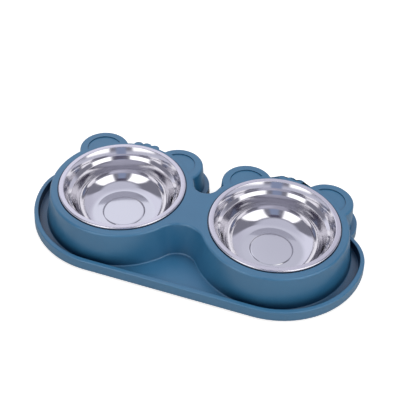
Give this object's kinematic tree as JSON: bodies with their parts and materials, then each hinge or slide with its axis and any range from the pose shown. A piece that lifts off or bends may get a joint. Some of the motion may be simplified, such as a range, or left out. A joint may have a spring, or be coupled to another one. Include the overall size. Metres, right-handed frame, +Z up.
{
  "type": "double pet bowl",
  "caption": "Raised double feeder for a cat or small dog: drawn steel bowls that lift out of a moulded base with ear-shaped corners and a spill tray.",
  "frame": {"origin": "centre of the footprint at table level", "axes": "+X along the pair of bowls, +Y towards the ears at the back, +Z up"},
  "size_m": [0.3486, 0.174, 0.044],
  "materials": {
    "base": "satin moulded plastic, slate blue",
    "steel": "drawn stainless steel, bright inside with a satin rim",
    "rubber": "soft black rubber"
  },
  "bodies": {
    "base": {"base": "base", "foot_front_left": "rubber", "foot_front_right": "rubber", "foot_rear_left": "rubber", "foot_rear_right": "rubber"},
    "left_bowl": {"left_bowl": "steel"},
    "right_bowl": {"right_bowl": "steel"}
  },
  "joints": [
    {"name": "left_bowl_lift", "type": "slide", "parent": "base", "child": "left_bowl", "axis": [0, 0, 1], "range_m": [0, 0.06]},
    {"name": "right_bowl_lift", "type": "slide", "parent": "base", "child": "right_bowl", "axis": [0, 0, 1], "range_m": [0, 0.06]}
  ]
}
